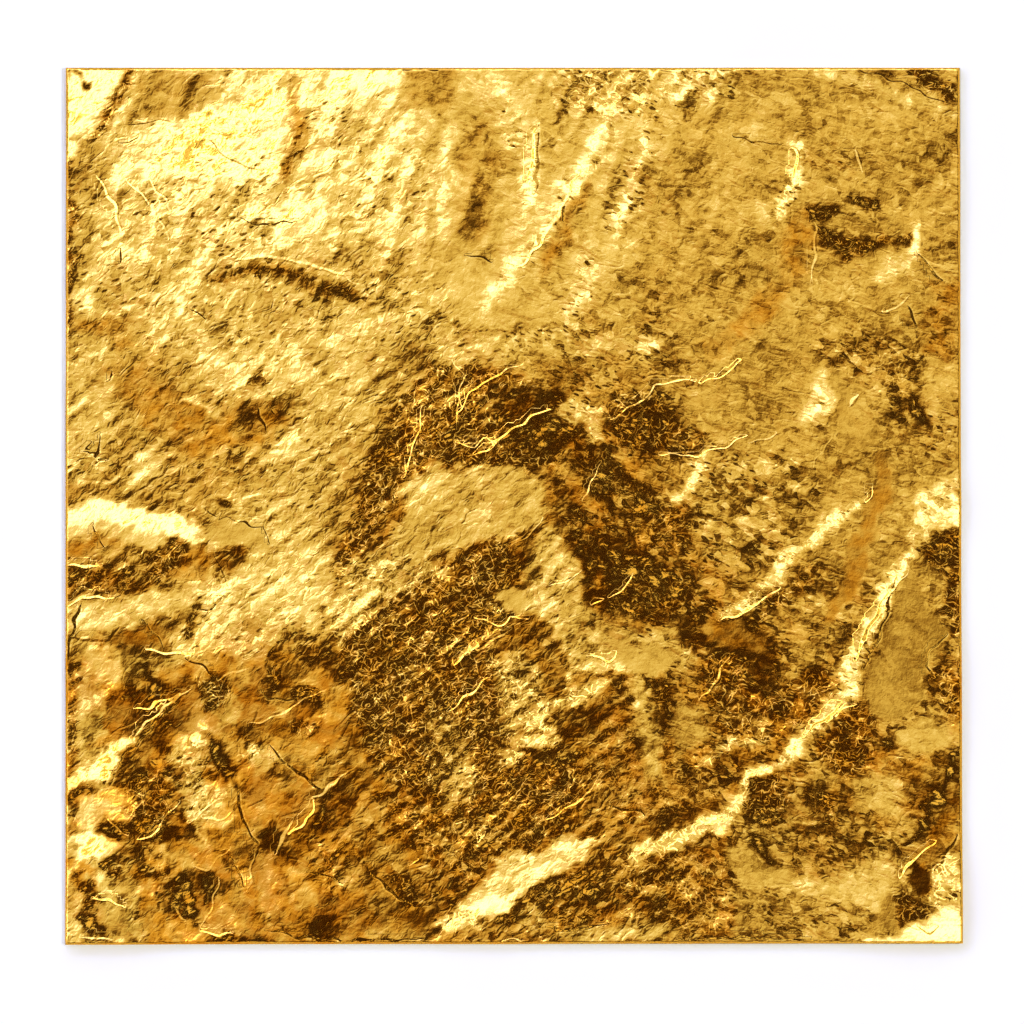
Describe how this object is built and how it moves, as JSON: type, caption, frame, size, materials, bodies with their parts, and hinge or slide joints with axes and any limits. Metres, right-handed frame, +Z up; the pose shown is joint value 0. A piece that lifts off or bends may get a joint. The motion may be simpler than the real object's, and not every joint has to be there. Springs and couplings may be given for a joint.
{
  "type": "gold leaf booklet",
  "caption": "Booklet of loose gold leaf between tissue pages glued along one edge, open at a crinkled leaf with its front cover folded back underneath.",
  "frame": {"origin": "middle of the booklet's base on the surface it lies on", "axes": "+Z up, +X from the glued edge to the free edge, +Y along the glued edge"},
  "size_m": [0.082, 0.08, 0.0026],
  "materials": {
    "crinkled_gold": "bright beaten gold, crinkled, in fine sharp folds",
    "loose_gold": "bright beaten gold, lying flat",
    "tissue": "matt thin tissue paper",
    "cover_card": "smooth uncoated card",
    "padding_glue": "dried white padding glue"
  },
  "bodies": {
    "back_cover": {"back_cover": "cover_card", "spine_glue": "padding_glue"},
    "cover_spine": {"cover_spine": "cover_card"},
    "front_cover": {"front_cover": "cover_card", "guard_sheet": "tissue"},
    "page_01": {"interleaf_01": "tissue"},
    "leaf_01": {"gold_leaf_01": "crinkled_gold"},
    "page_02": {"interleaf_02": "tissue"},
    "leaf_02": {"gold_leaf_02": "loose_gold"},
    "page_03": {"interleaf_03": "tissue"},
    "leaf_03": {"gold_leaf_03": "loose_gold"},
    "page_04": {"interleaf_04": "tissue"},
    "leaf_04": {"gold_leaf_04": "loose_gold"},
    "page_05": {"interleaf_05": "tissue"},
    "leaf_05": {"gold_leaf_05": "loose_gold"},
    "page_06": {"interleaf_06": "tissue"},
    "leaf_06": {"gold_leaf_06": "loose_gold"},
    "page_07": {"interleaf_07": "tissue"},
    "leaf_07": {"gold_leaf_07": "loose_gold"},
    "page_08": {"interleaf_08": "tissue"},
    "leaf_08": {"gold_leaf_08": "loose_gold"},
    "page_09": {"interleaf_09": "tissue"},
    "leaf_09": {"gold_leaf_09": "loose_gold"},
    "page_10": {"interleaf_10": "tissue"},
    "leaf_10": {"gold_leaf_10": "loose_gold"}
  },
  "joints": [
    {"name": "cover_fold", "type": "hinge", "parent": "back_cover", "child": "cover_spine", "pos_m": [-0.04105, 0, 0.0003], "axis": [0, -1, 0], "range_deg": [-270, 0]},
    {"name": "cover_crease", "type": "hinge", "parent": "cover_spine", "child": "front_cover", "pos_m": [-0.03858, 0, 0.00005], "axis": [0, -1, 0], "range_deg": [-90, 0]},
    {"name": "page_fan", "type": "hinge", "parent": "back_cover", "child": "page_10", "pos_m": [-0.04065, 0, 0.00055], "axis": [0, -1, 0], "range_deg": [0, 17], "deforming": ["spine_glue"]},
    {"name": "page_turn_09", "type": "hinge", "parent": "page_10", "child": "page_09", "pos_m": [-0.04065, 0, 0.00062], "axis": [0, -1, 0], "range_deg": [0, 17]},
    {"name": "page_turn_08", "type": "hinge", "parent": "page_09", "child": "page_08", "pos_m": [-0.04065, 0, 0.00069], "axis": [0, -1, 0], "range_deg": [0, 17]},
    {"name": "page_turn_07", "type": "hinge", "parent": "page_08", "child": "page_07", "pos_m": [-0.04065, 0, 0.00076], "axis": [0, -1, 0], "range_deg": [0, 17]},
    {"name": "page_turn_06", "type": "hinge", "parent": "page_07", "child": "page_06", "pos_m": [-0.04065, 0, 0.00083], "axis": [0, -1, 0], "range_deg": [0, 17]},
    {"name": "page_turn_05", "type": "hinge", "parent": "page_06", "child": "page_05", "pos_m": [-0.04065, 0, 0.0009], "axis": [0, -1, 0], "range_deg": [0, 17]},
    {"name": "page_turn_04", "type": "hinge", "parent": "page_05", "child": "page_04", "pos_m": [-0.04065, 0, 0.00097], "axis": [0, -1, 0], "range_deg": [0, 17]},
    {"name": "page_turn_03", "type": "hinge", "parent": "page_04", "child": "page_03", "pos_m": [-0.04065, 0, 0.00104], "axis": [0, -1, 0], "range_deg": [0, 17]},
    {"name": "page_turn_02", "type": "hinge", "parent": "page_03", "child": "page_02", "pos_m": [-0.04065, 0, 0.00111], "axis": [0, -1, 0], "range_deg": [0, 17]},
    {"name": "page_turn_01", "type": "hinge", "parent": "page_02", "child": "page_01", "pos_m": [-0.04065, 0, 0.00118], "axis": [0, -1, 0], "range_deg": [0, 17]},
    {"name": "leaf_slide_01", "type": "slide", "parent": "page_01", "child": "leaf_01", "axis": [1, 0, 0], "range_m": [0, 0.08]},
    {"name": "leaf_slide_02", "type": "slide", "parent": "page_02", "child": "leaf_02", "axis": [1, 0, 0], "range_m": [0, 0.08]},
    {"name": "leaf_slide_03", "type": "slide", "parent": "page_03", "child": "leaf_03", "axis": [1, 0, 0], "range_m": [0, 0.08]},
    {"name": "leaf_slide_04", "type": "slide", "parent": "page_04", "child": "leaf_04", "axis": [1, 0, 0], "range_m": [0, 0.08]},
    {"name": "leaf_slide_05", "type": "slide", "parent": "page_05", "child": "leaf_05", "axis": [1, 0, 0], "range_m": [0, 0.08]},
    {"name": "leaf_slide_06", "type": "slide", "parent": "page_06", "child": "leaf_06", "axis": [1, 0, 0], "range_m": [0, 0.08]},
    {"name": "leaf_slide_07", "type": "slide", "parent": "page_07", "child": "leaf_07", "axis": [1, 0, 0], "range_m": [0, 0.08]},
    {"name": "leaf_slide_08", "type": "slide", "parent": "page_08", "child": "leaf_08", "axis": [1, 0, 0], "range_m": [0, 0.08]},
    {"name": "leaf_slide_09", "type": "slide", "parent": "page_09", "child": "leaf_09", "axis": [1, 0, 0], "range_m": [0, 0.08]},
    {"name": "leaf_slide_10", "type": "slide", "parent": "page_10", "child": "leaf_10", "axis": [1, 0, 0], "range_m": [0, 0.08]}
  ],
  "couplings": [
    {"joint": "cover_crease", "follows": "cover_fold", "ratio": 0.33333},
    {"joint": "page_turn_09", "follows": "page_fan", "ratio": 1},
    {"joint": "page_turn_08", "follows": "page_fan", "ratio": 1},
    {"joint": "page_turn_07", "follows": "page_fan", "ratio": 1},
    {"joint": "page_turn_06", "follows": "page_fan", "ratio": 1},
    {"joint": "page_turn_05", "follows": "page_fan", "ratio": 1},
    {"joint": "page_turn_04", "follows": "page_fan", "ratio": 1},
    {"joint": "page_turn_03", "follows": "page_fan", "ratio": 1},
    {"joint": "page_turn_02", "follows": "page_fan", "ratio": 1},
    {"joint": "page_turn_01", "follows": "page_fan", "ratio": 1}
  ]
}
